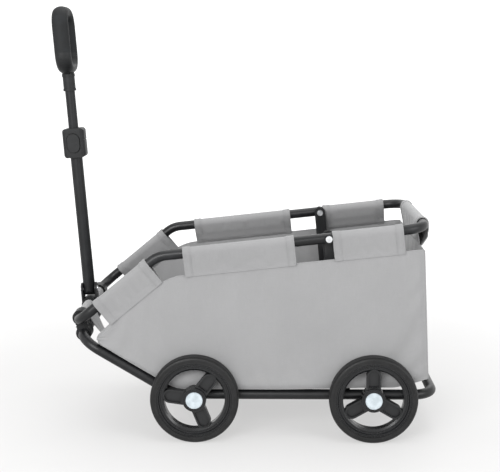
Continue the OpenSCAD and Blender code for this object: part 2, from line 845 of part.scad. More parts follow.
module housing_screws() {
  color("#77797c") on_pole() housing_screw_places() {
    translate([0, 0, -14]) cylinder(h = 24, r = 1.5);
    translate([0, 0, -16.5]) cylinder(h = 2.5, r = 3);
  }
}

module lock_button() {
  face = -housing_t / 2 - 2.5;
  color("#2b2c2f") on_pole() {
    on_left_face(face, face + 5.2) oval2(button_w, button_h);
    on_left_face(face + 5.1, face + 6.5) oval2(12, 20);
  }
}

// Shoe that the button works against the upper tube
module lock_shoe() {
  back = -housing_t / 2 + 7.5;
  color("#6c6e71") on_pole() difference() {
    on_left_face(back, -upper_r + 4) oval2(16, 24);
    translate([0, 0, housing_s]) cylinder(h = housing_h, r = upper_r + 0.12);
  }
}

module upper_tube() {
  color("#232427") on_pole() translate([0, 0, upper_low_s])
    linear_extrude(neck_s + neck_h + 4 - upper_low_s) tube_section(upper_r, 1.2);
}

// Guide on the lower end of the upper tube
module slide_plug() {
  color("#3a3b3e") on_pole() {
    translate([0, 0, upper_low_s - 8]) cylinder(h = 7.9, r = lower_bore - 0.06);
    translate([0, 0, upper_low_s - 0.2]) cylinder(h = 14, r = upper_r - 1.2);
  }
}

module neck_collar() {
  color("#1f2023") on_pole() difference() {
    union() {
      translate([0, 0, neck_s]) cylinder(h = neck_h - 0.1, r = neck_r - 1);
      translate([0, 0, neck_s]) cylinder(h = 5, r = neck_r);
      translate([0, 0, neck_s + neck_h - 6]) cylinder(h = 5.9, r = neck_r);
    }
    translate([0, 0, neck_s - 1]) cylinder(h = neck_h + 2, r = upper_r);
  }
}

module grip_loop(r) scale([grip_deep, 1, 1]) {
  points = [
    [0, -grip_half, grip_ends[0]], [0, grip_half, grip_ends[0]],
    [0, grip_half, grip_ends[1]], [0, -grip_half, grip_ends[1]]
  ];
  bent_loop(points, [for (p = points) grip_bend_r], r);
}

module below_cover() {
  translate([-40, -80, grip_s - 1]) cube([80, 160, cover_s - grip_s + 1]);
}

// The loop of the grip, full where it is bare and thinner under the cover
module grip_core() {
  color("#26272a") on_pole() difference() {
    union() {
      grip_loop(grip_r - grip_skin);
      intersection() {
        grip_loop(grip_r);
        below_cover();
      }
      translate([0, 0, grip_s]) cylinder(h = grip_r, r = neck_r - 1);
    }
    translate([0, 0, grip_s - 1]) cylinder(h = 5.1, r = upper_r);
  }
}

// Soft cover over the upper loop
module grip_cover() {
  color("#151617") on_pole() difference() {
    grip_loop(grip_r);
    grip_loop(grip_r - grip_skin);
    below_cover();
  }
}

// ---------- nodes ----------

placed() chassis_ring();
placed() axle_tubes();
placed() axle(front_axle_x);  // front_axle
placed() axle(rear_axle_x);  // rear_axle
placed() axle_spacers();
placed() axle_nuts();
placed() hinge_front_halves();
placed() hinge_rear_halves();
placed() hinge_screws();
placed() post_catches();
placed() floor_board();
placed() tub_floor();
placed() tub_left();
placed() tub_right();
placed() tub_front();
placed() tub_rear();
placed() rim_ring();
placed() pivot_bolts();
placed() pivot_nuts();
placed() pivot_caps();
placed() flaps_left();
placed() flaps_right();
placed() flap_rear();
placed() sleeves_front();
placed() post_left();
placed() post_right();
placed() front_left_tyre();
placed() front_left_rim();
placed() front_left_bearings();
placed() front_left_cap();
placed() front_right_tyre();
placed() front_right_rim();
placed() front_right_bearings();
placed() front_right_cap();
placed() rear_left_tyre();
placed() rear_left_rim();
placed() rear_left_bearings();
placed() rear_left_cap();
placed() rear_right_tyre();
placed() rear_right_rim();
placed() rear_right_bearings();
placed() rear_right_cap();
placed() handle_fork();
placed() collar_cap();
placed() collar_screws();
placed() fork_pin();
placed() lower_tube();
placed() lower_foot();
placed() lock_housing_left();
placed() lock_housing_right();
placed() housing_screws();
placed() guide_bush();
placed() lock_shoe();
placed() lock_button();
placed() upper_tube();
placed() slide_plug();
placed() neck_collar();
placed() grip_core();
placed() grip_cover();
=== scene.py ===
import math

import bmesh
import bpy
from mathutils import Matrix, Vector


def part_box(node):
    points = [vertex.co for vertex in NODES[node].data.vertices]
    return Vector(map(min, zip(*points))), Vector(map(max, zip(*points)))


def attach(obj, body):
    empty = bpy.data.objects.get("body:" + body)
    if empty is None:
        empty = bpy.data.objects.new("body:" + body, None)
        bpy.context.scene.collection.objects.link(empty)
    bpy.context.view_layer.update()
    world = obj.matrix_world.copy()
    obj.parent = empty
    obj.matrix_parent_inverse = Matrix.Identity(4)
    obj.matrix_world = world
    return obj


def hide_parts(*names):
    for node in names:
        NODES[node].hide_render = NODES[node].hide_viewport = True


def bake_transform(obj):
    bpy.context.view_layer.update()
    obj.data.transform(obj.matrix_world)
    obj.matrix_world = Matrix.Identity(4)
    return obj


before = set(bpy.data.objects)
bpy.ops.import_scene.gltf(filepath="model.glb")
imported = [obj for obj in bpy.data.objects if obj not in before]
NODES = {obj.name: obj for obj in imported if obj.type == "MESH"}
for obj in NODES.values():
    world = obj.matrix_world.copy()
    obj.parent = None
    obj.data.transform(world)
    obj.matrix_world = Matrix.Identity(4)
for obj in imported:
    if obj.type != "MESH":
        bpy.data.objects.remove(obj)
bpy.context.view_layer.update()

SCENE = bpy.context.scene
MM = 0.001

# Distances of the frame, in mm, from the hinge axis, the wagon's middle and the ground
AXLE = (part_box("front_axle")[0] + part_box("front_axle")[1]) / 2
HINGE_X = AXLE.x / MM - 255.6
HINGE_Z = 252.0
SIDE_Y = 195.0
TUBE_R = 11.0
RAIL_Z = AXLE.z / MM
RIM_BEND = (177.0, 399.5)
RIM_LEN = 747.0
RIM_REAR_Z = 462.0
NOSE = (7.0, 217.0)
CHASSIS_BEND_X = 210.0
FLAP_DROP = 48.0
SLOPE_A = math.atan2(RIM_BEND[1] - HINGE_Z, RIM_BEND[0])
TOP_A = math.atan2(RIM_REAR_Z - RIM_BEND[1], RIM_LEN - RIM_BEND[0])
NOSE_A = math.atan2(NOSE[1] - RAIL_Z, CHASSIS_BEND_X - NOSE[0])
CLOTH_T = 1.2
WALL_Y = SIDE_Y + TUBE_R + 0.9        # middle of the side walls' cloth
TUB_NOSE_X = 48.0
TUB_REAR_LOW = 758.6
TUB_REAR_TOP = 743.0
TUB_REAR_HEIGHT = 303.0
TOP_EDGE = 2.5                        # the walls' top edge above tub_top
FLOOR_CLOTH_Z = 110.4
UNDER_BOARD_Z = 107.5                 # the floor cloth's height below the board
LIFT_X = 683.0                        # from here back the floor is drawn up off the rails
WHEEL_Y = 227.0
SOIL = (0.17, 0.15, 0.13)
MIX_COLOURS, MIX_RESULT = (6, 7), 2   # the colour sockets of a Mix node
STITCH_LENGTH, STITCH_PITCH, STITCH_WIDTH = 3.0, 4.2, 0.62
# Rings of a stitch: place along it, size, and depth below its crown
STITCH_RINGS = ((-0.5, 0.35, 0.55), (-0.3, 1.0, 0.0), (0.3, 1.0, 0.0), (0.5, 0.35, 0.55))
STITCH_SIDES = 6


def place(x, y, z):
    """A point given in mm from the hinge axis, as a point of the frame."""
    return Vector(((x + HINGE_X) * MM, y * MM, z * MM))


def slope_z(x):
    return HINGE_Z + x * math.tan(SLOPE_A)


def top_z(x):
    return RIM_BEND[1] + (x - RIM_BEND[0]) * math.tan(TOP_A)


def soft_min(a, b, k):
    h = max(k - abs(a - b), 0.0) / k
    return min(a, b) - h * h * k / 4


def tub_top(x):
    """Height of the tub's top edge."""
    return soft_min(slope_z(x) - FLAP_DROP / math.cos(SLOPE_A),
                    top_z(x) - FLAP_DROP / math.cos(TOP_A), 26)


def ease(x, start, end):
    """0 at start and 1 at end, smoothly."""
    t = min(max((x - start) / (end - start), 0.0), 1.0)
    return t * t * (3 - 2 * t)


def tub_low(x):
    """Height of the tub's lower edge: up the front slope, then level, and drawn up at the rear."""
    front = NOSE[1] - (x - NOSE[0]) * math.tan(NOSE_A) + 15.5 / math.cos(NOSE_A)
    lift = 20 * max((x - LIFT_X) / 75.6, 0.0) ** 1.3
    level = FLOOR_CLOTH_Z + 5.5 * ease(x, 420, 680) + lift
    return -soft_min(-front, -level, 12)


# ---------- finishes ----------

class Field:
    """A value that varies over a surface, with arithmetic on it."""

    def __init__(self, finish, socket):
        self.finish, self.socket = finish, socket

    def _maths(self, operation, *values):
        return self.finish.node("ShaderNodeMath", {"operation": operation}, values)

    def __add__(self, other):
        return self._maths("ADD", self, other)

    def __sub__(self, other):
        return self._maths("SUBTRACT", self, other)

    def __rsub__(self, other):
        return self._maths("SUBTRACT", other, self)

    def __mul__(self, other):
        return self._maths("MULTIPLY", self, other)

    def __pow__(self, other):
        return self._maths("POWER", self, other)

    __radd__ = __add__
    __rmul__ = __mul__

    def wave(self):
        return self._maths("SINE", self)

    def size(self):
        return self._maths("ABSOLUTE", self)

    def between(self, low, high):
        """0 below low and 1 above high, smoothly."""
        return self.finish.node(
            "ShaderNodeMapRange", {"interpolation_type": "SMOOTHSTEP", "clamp": True},
            {"Value": self, "From Min": low, "From Max": high})


class Finish:
    """A material built from nodes."""

    def __init__(self, name):
        self.material = bpy.data.materials.new(name)
        self.material.use_nodes = True
        self.tree = self.material.node_tree
        self.tree.nodes.clear()
        self.place = self.node("ShaderNodeTexCoord", output="Object")

    def node(self, kind, settings=None, inputs=(), output=0):
        made = self.tree.nodes.new(kind)
        for key, value in (settings or {}).items():
            setattr(made, key, value)
        for key, value in (inputs.items() if isinstance(inputs, dict) else enumerate(inputs)):
            if isinstance(value, Field):
                self.tree.links.new(value.socket, made.inputs[key])
            else:
                made.inputs[key].default_value = value
        return Field(self, made.outputs[output])

    def cloth_place(self):
        return self.node("ShaderNodeUVMap", {"uv_map": "cloth"})

    def parts(self, vector):
        split = self.node("ShaderNodeSeparateXYZ", inputs=[vector])
        outputs = split.socket.node.outputs
        return [Field(self, outputs[i]) for i in range(3)]

    def stretch(self, vector, scale):
        return self.node("ShaderNodeMapping", inputs={"Vector": vector, "Scale": scale})

    def grain(self, vector, scale, detail=2.0, rough=0.5):
        return self.node("ShaderNodeTexNoise", inputs={
            "Vector": vector, "Scale": scale, "Detail": detail, "Roughness": rough})

    def tint(self, amount, low, high):
        """A colour between two, which are fields or triples, by amount."""
        ends = {socket: colour if isinstance(colour, Field) else (*colour, 1.0)
                for socket, colour in zip(MIX_COLOURS, (low, high))}
        return self.node("ShaderNodeMix", {"data_type": "RGBA"}, {"Factor": amount, **ends},
                         output=MIX_RESULT)

    def bump(self, height, depth, strength=1.0, over=None):
        values = {"Height": height, "Distance": depth, "Strength": strength}
        if over is not None:
            values["Normal"] = over
        return self.node("ShaderNodeBump", inputs=values)

    def surface(self, **sockets):
        names = {key.replace("_", " ").title().replace("Ior", "IOR"): value
                 for key, value in sockets.items()}
        shader = self.node("ShaderNodeBsdfPrincipled", inputs=names)
        output = self.tree.nodes.new("ShaderNodeOutputMaterial")
        self.tree.links.new(shader.socket, output.inputs["Surface"])
        return self.material


def canvas(name, low, high, cloth=True):
    """Plain woven polyester: u and v threads, slubs, and soil towards the ground."""
    f = Finish(name)
    where = f.cloth_place() if cloth else f.place
    u, v, _ = f.parts(where)
    pitch = 2 * math.pi / 0.00085
    warp, weft = (u * pitch).wave(), (v * pitch).wave()
    weave = warp * weft * 0.5 + 0.5
    slub_u = f.grain(f.stretch(where, (35, 900, 35)), 1.0, 2.0)
    slub_v = f.grain(f.stretch(where, (900, 35, 35)), 1.0, 2.0)
    slubs = (slub_u + slub_v) * 0.5
    cloudy = f.grain(f.place, 7.0, 3.0)
    rubbed = f.grain(f.place, 38.0, 4.0, 0.6)
    _, _, height = f.parts(f.place)
    soil = (1 - height.between(0.1, 0.2)) * f.grain(f.place, 22.0, 4.0, 0.7).between(0.45, 0.75)
    shade = (weave * 0.22 + slubs * 0.36 + cloudy * 0.34 + rubbed * 0.12).between(0.1, 0.95)
    colour = f.tint(soil * 0.12, f.tint(shade, low, high), SOIL)
    folds = f.bump(f.grain(f.place, 26.0, 3.0, 0.55), 0.0011, 0.45)
    threads = f.bump(weave * 0.7 + slubs * 0.6, 0.00016, 0.7, over=folds)
    return f.surface(base_color=colour, roughness=0.8 + rubbed * 0.14, normal=threads,
                     sheen_weight=0.18, sheen_roughness=0.45)


def painted(name, low, high):
    """Powder coat on steel: orange peel, a little dust, finer gloss where it is rubbed."""
    f = Finish(name)
    clean, dusty = 0.34, 0.5
    peeled = f.grain(f.place, 620.0, 2.0, 0.5)
    dust = f.grain(f.place, 24.0, 5.0, 0.65).between(0.42, 0.75)
    specks = f.grain(f.place, 260.0, 2.0, 0.6).between(0.66, 0.72)
    shade = (f.grain(f.place, 9.0, 3.0) * 0.7 + dust * 0.35 + specks * 0.25).between(0.2, 1.0)
    return f.surface(base_color=f.tint(shade, low, high),
                     roughness=clean + dust * (dusty - clean) + peeled * 0.06,
                     normal=f.bump(peeled, 0.00009, 0.6), coat_weight=0.06, coat_roughness=0.3,
                     specular_ior_level=0.28)


def moulded(name, low, high, rough, texture=480.0):
    """Moulded plastic with a fine spark texture and faint flow marks."""
    f = Finish(name)
    spark = f.grain(f.place, texture, 3.0, 0.6)
    pits = f.node("ShaderNodeTexVoronoi", inputs={"Vector": f.place, "Scale": texture * 1.4})
    flow = f.grain(f.stretch(f.place, (1.0, 1.0, 3.5)), 18.0, 3.0, 0.55)
    shade = (flow * 0.8 + spark * 0.2).between(0.3, 0.75)
    return f.surface(base_color=f.tint(shade, low, high),
                     roughness=rough - 0.06 + flow * 0.14 + spark * 0.05,
                     normal=f.bump(spark * 0.6 + pits * 0.4, 0.00012, 0.55),
                     specular_ior_level=0.25)


def foamed(name, low, high):
    """Soft foam skin: fine open grain, a little polished where hands hold it."""
    f = Finish(name)
    fine = f.grain(f.place, 700.0, 3.0, 0.6)
    held = f.grain(f.place, 45.0, 5.0, 0.7).between(0.4, 0.72)
    return f.surface(base_color=f.tint(held * 0.75 + fine * 0.25, low, high),
                     roughness=0.6 + held * 0.2, normal=f.bump(fine, 0.00014, 0.7),
                     specular_ior_level=0.22)


def from_axle(f, axle):
    """Distance from a wheel's axis, the angle round it, and the distance across the tread."""
    x, y, z = f.parts(f.place)
    along, up = x - axle.x, z - axle.z
    radius = (along * along + up * up) ** 0.5
    angle = f.node("ShaderNodeMath", {"operation": "ARCTAN2"}, [up, along])
    return radius, angle, (y.size() - WHEEL_Y * MM).size()


def groove(value, at, width):
    """0 within a groove of that width in mm, and 1 outside it."""
    return (value - at * MM).size().between(width * MM * 0.3, width * MM * 0.7)


def tyre_rubber(name, axle, low, high):
    """Tyre rubber: rings moulded on its flanks, a grooved tread, and dust on the tread, which is
    also painted lighter as a painted highlight.
    """
    f = Finish(name)
    radius, angle, across = from_axle(f, axle)
    fine = f.grain(f.place, 520.0, 3.0, 0.6)
    tread = radius.between(0.0925, 0.0945)
    dust = f.grain(f.place, 45.0, 5.0, 0.7).between(0.4, 0.72)
    rings = groove(radius, 91.2, 1.3) * groove(radius, 87.4, 1.0)
    flank = rings + radius.between(0.0845, 0.0850) * 0.8
    lugs = (angle * 78).wave().between(-0.35, -0.1)
    shoulder = across.between(0.0072, 0.0078)
    blocks = groove(across, 6.4, 1.8) * groove(across, 0.0, 1.6)
    worn = 1 - tread * shoulder * (1 - lugs)
    height = flank * (1 - tread) + tread * blocks * worn
    # The tread's colour is lighter: partly dust, partly a painted highlight of the tyre's edge.
    return f.surface(base_color=f.tint(dust * (0.3 + tread * 0.6) + fine * 0.1, low, high),
                     roughness=0.36 + dust * 0.2 + tread * 0.2,
                     normal=f.bump(fine, 0.00008, 0.5, over=f.bump(height, 0.0015, 1.0)),
                     specular_ior_level=0.4)


def wheel_plastic(name, axle, low, high):
    """Glossy moulded plastic, with raised rings round the rim and a fine texture in its troughs."""
    f = Finish(name)
    radius, angle, across = from_axle(f, axle)
    fine = f.grain(f.place, 560.0, 3.0, 0.6)
    flow = f.grain(f.place, 24.0, 3.0, 0.55)
    trough = radius.between(0.029, 0.031) * (1 - radius.between(0.060, 0.064))
    rings = groove(radius, 79.6, 1.0) * groove(radius, 72.2, 1.0) * groove(radius, 22.4, 1.0)
    return f.surface(base_color=f.tint(flow * 0.7 + fine * 0.3, low, high),
                     roughness=0.2 + trough * 0.22 + flow * 0.1 + fine * 0.04,
                     normal=f.bump(fine, 0.00010, 0.5, over=f.bump(rings, 0.0012, 1.0)),
                     specular_ior_level=0.42)


def plated(name, low, high, rough=0.24, metallic=1.0):
    """Plated or lacquered metal, with fine turning marks and cloudy patches."""
    f = Finish(name)
    marks = f.grain(f.stretch(f.place, (260, 2400, 260)), 1.0, 2.0)
    cloudy = f.grain(f.place, 85.0, 3.0, 0.6)
    return f.surface(base_color=f.tint(cloudy.between(0.3, 0.7), low, high), metallic=metallic,
                     roughness=rough + cloudy * 0.16 + marks * 0.06,
                     normal=f.bump(marks, 0.00004, 0.5))


def anodised(name, low, high):
    """Extruded aluminium tube, anodised dark, with streaks along its length."""
    f = Finish(name)
    streaks = f.grain(f.stretch(f.place, (900, 900, 9)), 1.0, 3.0, 0.6)
    handled = f.grain(f.place, 30.0, 4.0, 0.6).between(0.4, 0.7)
    return f.surface(base_color=f.tint(streaks * 0.6 + handled * 0.4, low, high), metallic=0.2,
                     roughness=0.42 + handled * 0.1 + streaks * 0.08,
                     normal=f.bump(streaks, 0.00003, 0.5), specular_ior_level=0.3)


CANVAS = canvas("canvas", (0.175, 0.1755, 0.1775), (0.235, 0.2355, 0.2375))
# Painted shade: the flaps use a darker copy of the same canvas, standing in for the shade they sit
# in.
FLAP_CANVAS_SHADED = canvas("flap_canvas_shaded", (0.165, 0.1655, 0.1675), (0.215, 0.2155, 0.2175))
HEM_CANVAS = canvas("hem_canvas", (0.16, 0.1605, 0.1625), (0.21, 0.2105, 0.2125))
BOARD = canvas("board_cloth", (0.13, 0.131, 0.134), (0.2, 0.201, 0.204), cloth=False)
THREAD = canvas("thread", (0.15, 0.151, 0.155), (0.24, 0.241, 0.245), cloth=False)
FRAME_PAINT = painted("frame_paint", (0.0035, 0.0038, 0.0042), (0.013, 0.0135, 0.015))
POST_PAINT = painted("post_paint", (0.0045, 0.0048, 0.0052), (0.015, 0.0155, 0.017))
NYLON = moulded("black_nylon", (0.0025, 0.0027, 0.003), (0.010, 0.0105, 0.0115), 0.46)
LOCK_NYLON = moulded("lock_nylon", (0.003, 0.0033, 0.0036), (0.011, 0.0118, 0.0128), 0.5, 420.0)
FOAM = foamed("grip_foam", (0.004, 0.0045, 0.005), (0.014, 0.0155, 0.017))
STEEL = plated("zinc_steel", (0.42, 0.43, 0.44), (0.68, 0.69, 0.70))
CAP_SILVER = plated("cap_silver", (0.34, 0.385, 0.41), (0.46, 0.51, 0.54), 0.45, 0.25)
POLE = anodised("pole_aluminium", (0.003, 0.0033, 0.0037), (0.012, 0.013, 0.0145))

CAD_FINISHES = {
    FRAME_PAINT: ["chassis_ring", "axle_tubes", "rim_ring"],
    POST_PAINT: ["post_left", "post_right"],
    STEEL: ["front_axle", "rear_axle", "axle_nuts", "hinge_screws", "pivot_bolts", "pivot_nuts",
            "collar_screws", "fork_pin", "housing_screws"],
    NYLON: ["axle_spacers", "hinge_front_halves", "hinge_rear_halves", "post_catches", "pivot_caps",
            "handle_fork", "collar_cap", "lower_foot", "guide_bush", "lock_shoe", "slide_plug"],
    LOCK_NYLON: ["lock_housing_left", "lock_housing_right", "lock_button", "neck_collar",
                 "grip_core"],
    FOAM: ["grip_cover"],
    POLE: ["lower_tube", "upper_tube"],
    BOARD: ["floor_board"],
}
for end in ("front", "rear"):
    axle_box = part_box(f"{end}_axle")
    axle = (axle_box[0] + axle_box[1]) / 2
    rubber = tyre_rubber(f"tyre_rubber_{end}", axle, (0.002, 0.002, 0.0022),
                         (0.010, 0.010, 0.0105))
    plastic = wheel_plastic(f"wheel_plastic_{end}", axle, (0.002, 0.0021, 0.0024),
                            (0.007, 0.0075, 0.0085))
    wheel_parts = {"tyre": rubber, "rim": plastic, "bearings": STEEL, "cap": CAP_SILVER}
    for side in ("left", "right"):
        for part, finish in wheel_parts.items():
            CAD_FINISHES.setdefault(finish, []).append(f"{end}_{side}_{part}")


def finish_node(name, material):
    mesh = NODES[name].data
    mesh.materials.clear()
    mesh.materials.append(material)


for finish, names in CAD_FINISHES.items():
    for name in names:
        finish_node(name, finish)


# ---------- modelling tools ----------

def deselect():
    if bpy.context.object and bpy.context.object.mode != "OBJECT":
        bpy.ops.object.mode_set(mode="OBJECT")
    bpy.ops.object.select_all(action="DESELECT")


def only(piece):
    deselect()
    piece.select_set(True)
    bpy.context.view_layer.objects.active = piece
    return piece


def named(name, material):
    piece = bpy.context.object
    piece.name = piece.data.name = name
    piece.data.materials.clear()
    piece.data.materials.append(material)
    return piece


def apply_all(piece):
    only(piece)
    for modifier in list(piece.modifiers):
        bpy.ops.object.modifier_apply(modifier=modifier.name)
    return piece


class Cloth:
    """A sheet made from a grid: shape(u, v) is its place, and size its flat size in metres."""

    def __init__(self, name, counts, size, shape, material=CANVAS):
        deselect()
        bpy.ops.mesh.primitive_grid_add(x_subdivisions=counts[0], y_subdivisions=counts[1], size=1)
        self.piece = named(name, material)
        self.counts, self.size = counts, size
        mesh = self.piece.data
        mesh.uv_layers[0].name = "cloth"
        for corner in mesh.uv_layers[0].data:
            corner.uv = (corner.uv[0] * size[0], corner.uv[1] * size[1])
        self.order = {}
        for vertex in mesh.vertices:
            i = round((vertex.co.x + 0.5) * counts[0])
            j = round((vertex.co.y + 0.5) * counts[1])
            self.order[i, j] = vertex.index
            vertex.co = shape(i / counts[0], j / counts[1])
        self.rest = [v.co.copy() for v in mesh.vertices]
        only(self.piece)

    def hang(self, held, slack, bend):
        """Adds the cloth modifier: held(i, j) says which points are sewn or wrapped."""
        group = self.piece.vertex_groups.new(name="held")
        group.add([k for (i, j), k in self.order.items() if held(i, j)], 1.0, "REPLACE")
        settings = self.piece.modifiers.new("hang", "CLOTH").settings
        settings.quality = 7
        settings.mass = 0.12
        settings.tension_stiffness = settings.compression_stiffness = 18
        settings.shear_stiffness = 10
        settings.bending_stiffness = bend
        settings.tension_damping = settings.compression_damping = 25
        settings.air_damping = 4
        settings.vertex_group_mass = "held"
        settings.shrink_min = -slack
        return self

    def settle(self, furthest=0.006):
        """Applies the simulation, with no point further than that from where it started."""
        apply_all(self.piece)
        for vertex, start in zip(self.piece.data.vertices, self.rest):
            move = vertex.co - start
            if move.length > furthest:
                vertex.co = start + move * (furthest / move.length)
        self.piece.vertex_groups.clear()
        return self

    def at(self, u, v):
        """The place and outward normal of the cloth at u, v."""
        points = self.piece.data.vertices

        def corner(i, j):
            i, j = min(max(i, 0), self.counts[0]), min(max(j, 0), self.counts[1])
            return points[self.order[i, j]].co

        x, y = u * self.counts[0], v * self.counts[1]
        i, j = min(int(x), self.counts[0] - 1), min(int(y), self.counts[1] - 1)
        a, b = x - i, y - j
        low = corner(i, j).lerp(corner(i + 1, j), a)
        high = corner(i, j + 1).lerp(corner(i + 1, j + 1), a)
        along = corner(i + 1, j) - corner(i, j)
        up = corner(i, j + 1) - corner(i, j)
        return low.lerp(high, b), along.cross(up).normalized()

    def finish(self, thickness=CLOTH_T):
        """Smooths the cloth and gives it its thickness in mm."""
        piece = only(self.piece)
        modifier = piece.modifiers.new("smooth", "SUBSURF")
        modifier.levels = modifier.render_levels = 1
        modifier = piece.modifiers.new("thickness", "SOLIDIFY")
        modifier.thickness, modifier.offset = thickness * MM, 0.0
        apply_all(piece)
        bpy.ops.object.shade_smooth_by_angle(angle=math.radians(50))
        return piece


def thread_run(name, cloth, points, lift):
    """Stitches along a run of (u, v) points, lift mm above a cloth's middle, as one piece."""
    path = [cloth.at(*p) for p in points]
    mesh = bmesh.new()
    turns = [k * math.pi / 3 for k in range(STITCH_SIDES)]
    done, at = 0.0, STITCH_PITCH / 2
    for (a, na), (b, nb) in zip(path, path[1:]):
        step = (b - a).length / MM
        while at <= done + step:
            share = (at - done) / max(step, 1e-9)
            middle, normal = a.lerp(b, share), na.lerp(nb, share).normalized()
            along = (b - a).normalized()
            side = normal.cross(along).normalized()
            base = middle + normal * lift * MM
            rings = []
            for s, r, down in STITCH_RINGS:
                centre = base + along * s * STITCH_LENGTH * MM - normal * down * MM
                spokes = [side * math.cos(t) + normal * math.sin(t) * 0.7 for t in turns]
                rings.append([mesh.verts.new(centre + spoke * r * STITCH_WIDTH / 2 * MM)
                              for spoke in spokes])
            for low, high in zip(rings, rings[1:]):
                for k in range(STITCH_SIDES):
                    after = (k + 1) % STITCH_SIDES
                    mesh.faces.new((low[k], low[after], high[after], high[k]))
            mesh.faces.new(rings[0][::-1])
            mesh.faces.new(rings[-1])
            at += STITCH_PITCH
        done += step
    bmesh.ops.recalc_face_normals(mesh, faces=mesh.faces)
    data = bpy.data.meshes.new(name)
    mesh.to_mesh(data)
    mesh.free()
    data.materials.append(THREAD)
    piece = bpy.data.objects.new(name, data)
    SCENE.collection.objects.link(piece)
    for polygon in data.polygons:
        polygon.use_smooth = True
    return piece


def trim(name, cloth, run, radius, material=CANVAS):
    """A thin round edging along a run of (u, v) points on a cloth, made a mesh."""
    points = [cloth.at(*p)[0] for p in run]
    curve = bpy.data.curves.new(name, "CURVE")
    curve.dimensions = "3D"
    line = curve.splines.new("POLY")
    line.points.add(len(points) - 1)
    for knot, point in zip(line.points, points):
        knot.co = (*point, 1.0)
    curve.bevel_depth = radius * MM
    curve.bevel_resolution = 3
    curve.use_fill_caps = True
    piece = bpy.data.objects.new(name, curve)
    SCENE.collection.objects.link(piece)
    only(piece)
    bpy.ops.object.convert(target="MESH")
    piece = bpy.context.object
    piece.data.materials.clear()
    piece.data.materials.append(material)
    bpy.ops.object.shade_smooth()
    return piece


def hem_band(name, cloth, ends, lift):
    """The turned-over hem across a cloth between two values of u, as a second layer on it."""
    columns, crown, border = 4, 1.35, 1.1

    def shape(u, v):
        point, normal = cloth.at(ends[0] + (ends[1] - ends[0]) * u, v)
        return point + normal * (lift * crown if 0 < u < 1 else lift * border) * MM

    size = ((ends[1] - ends[0]) * cloth.size[0], cloth.size[1])
    band = Cloth(name, (columns, cloth.counts[1]), size, shape, HEM_CANVAS)
    return band.finish(thickness=1.1)


# ---------- the tub ----------

def rear_x(z):
    """Where the tub's rear face is at a height."""
    return TUB_REAR_LOW + (TUB_REAR_TOP - TUB_REAR_LOW) * (z - FLOOR_CLOTH_Z) / TUB_REAR_HEIGHT


def wall_shape(side):
    """A side wall: bulged a little in its middle, and pleated where it ends at the nose."""
    bulge, pleat_depth, pleat_pitch, pleat_reach, nose_reach = 3.2, 1.5, 6.5, 30, 16

    def shape(u, v):
        x = TUB_NOSE_X + u * (TUB_REAR_LOW - TUB_NOSE_X)
        nose = math.exp(-(x - TUB_NOSE_X) / nose_reach)
        low = tub_low(x) + 4 * nose
        high = tub_top(min(x, TUB_REAR_TOP)) + TOP_EDGE - 4 * nose
        z = low + v * (high - low)
        pleat = pleat_depth * math.sin((high - z) / pleat_pitch * 2 * math.pi)
        pleat *= math.exp(-(x - TUB_NOSE_X) / pleat_reach)
        pleat *= 1 - ease(high - z, 12, 24)
        x -= (TUB_REAR_LOW - rear_x(z)) * u ** 6 + 3 * nose * math.sin(math.pi * v)
        out = bulge * math.sin(math.pi * min(u * 1.02, 1)) * math.sin(math.pi * v) ** 0.8
        return place(x, side * (WALL_Y + out + pleat), z)
    return shape


def floor_shape(u, v):
    """The floor, from the rear to the nose: flat under the board, and slack beyond it."""
    x = TUB_REAR_LOW - u * (TUB_REAR_LOW - TUB_NOSE_X)
    edge = abs(2 * v - 1)
    low = tub_low(x)
    flat = ease(x, 235, 285) * (1 - ease(x, LIFT_X - 10, TUB_REAR_LOW))
    sag = (low - UNDER_BOARD_Z) * flat + 1.5 * (1 - flat)
    return place(x, (2 * v - 1) * WALL_Y, low - sag * (1 - edge ** 10))


def rear_shape(u, v):
    """The rear panel, bulged a little in its middle."""
    low, bulge = tub_low(TUB_REAR_LOW), 4.0
    z = low + v * (tub_top(TUB_REAR_TOP) + TOP_EDGE - low)
    out = bulge * math.sin(math.pi * u) * math.sin(math.pi * v)
    return place(rear_x(z) + out, (2 * u - 1) * WALL_Y, z)


def strap_shape(side):
    """A front strap, from the tub's nose up to its sleeve on the crossbar."""
    low, high = (TUB_NOSE_X - 1.0, tub_low(TUB_NOSE_X) + 1.5), (13.6, HINGE_Z - 1.5)

    def shape(u, v):
        inner, outer = 98.0 - 71.0 * v ** 0.6, 137.0 - 28.0 * v ** 0.7
        sag = -2.5 * math.sin(math.pi * v) + 1.2 * math.sin(5 * math.pi * u) * (1 - v) ** 1.5
        return place(low[0] + (high[0] - low[0]) * v, side * (inner + (outer - inner) * u),
                     low[1] + (high[1] - low[1]) * v + sag)
    return shape


def sewn_round(counts):
    """Holds the points on all four edges of a grid."""
    return lambda i, j: i in (0, counts[0]) or j in (0, counts[1])


SIDES = {"left": -1, "right": 1}
WALL_GRID, FLOOR_GRID, REAR_GRID, STRAP_GRID = (110, 44), (70, 40), (50, 38), (16, 20)
walls, straps = {}, {}
for side_name, side in SIDES.items():
    walls[side_name] = Cloth(f"tub_wall_{side_name}", WALL_GRID, (0.735, 0.3), wall_shape(side))
    walls[side_name].hang(sewn_round(WALL_GRID), 0.004, 6.0)
floor = Cloth("tub_floor_cloth", FLOOR_GRID, (0.74, 0.414), floor_shape)
floor_edges = sewn_round(FLOOR_GRID)
floor.hang(lambda i, j: floor_edges(i, j) or (i < 50 and 3 < j < 37), 0.003, 6.0)
rear = Cloth("tub_rear_cloth", REAR_GRID, (0.414, 0.282), rear_shape)
rear.hang(sewn_round(REAR_GRID), 0.004, 6.0)
for side_name, side in SIDES.items():
    straps[side_name] = Cloth(f"tub_strap_{side_name}", STRAP_GRID, (0.062, 0.056),
                              strap_shape(side))
    straps[side_name].hang(lambda i, j: j in (0, STRAP_GRID[1]), 0.004, 4.0)


# ---------- flaps over the rim ----------

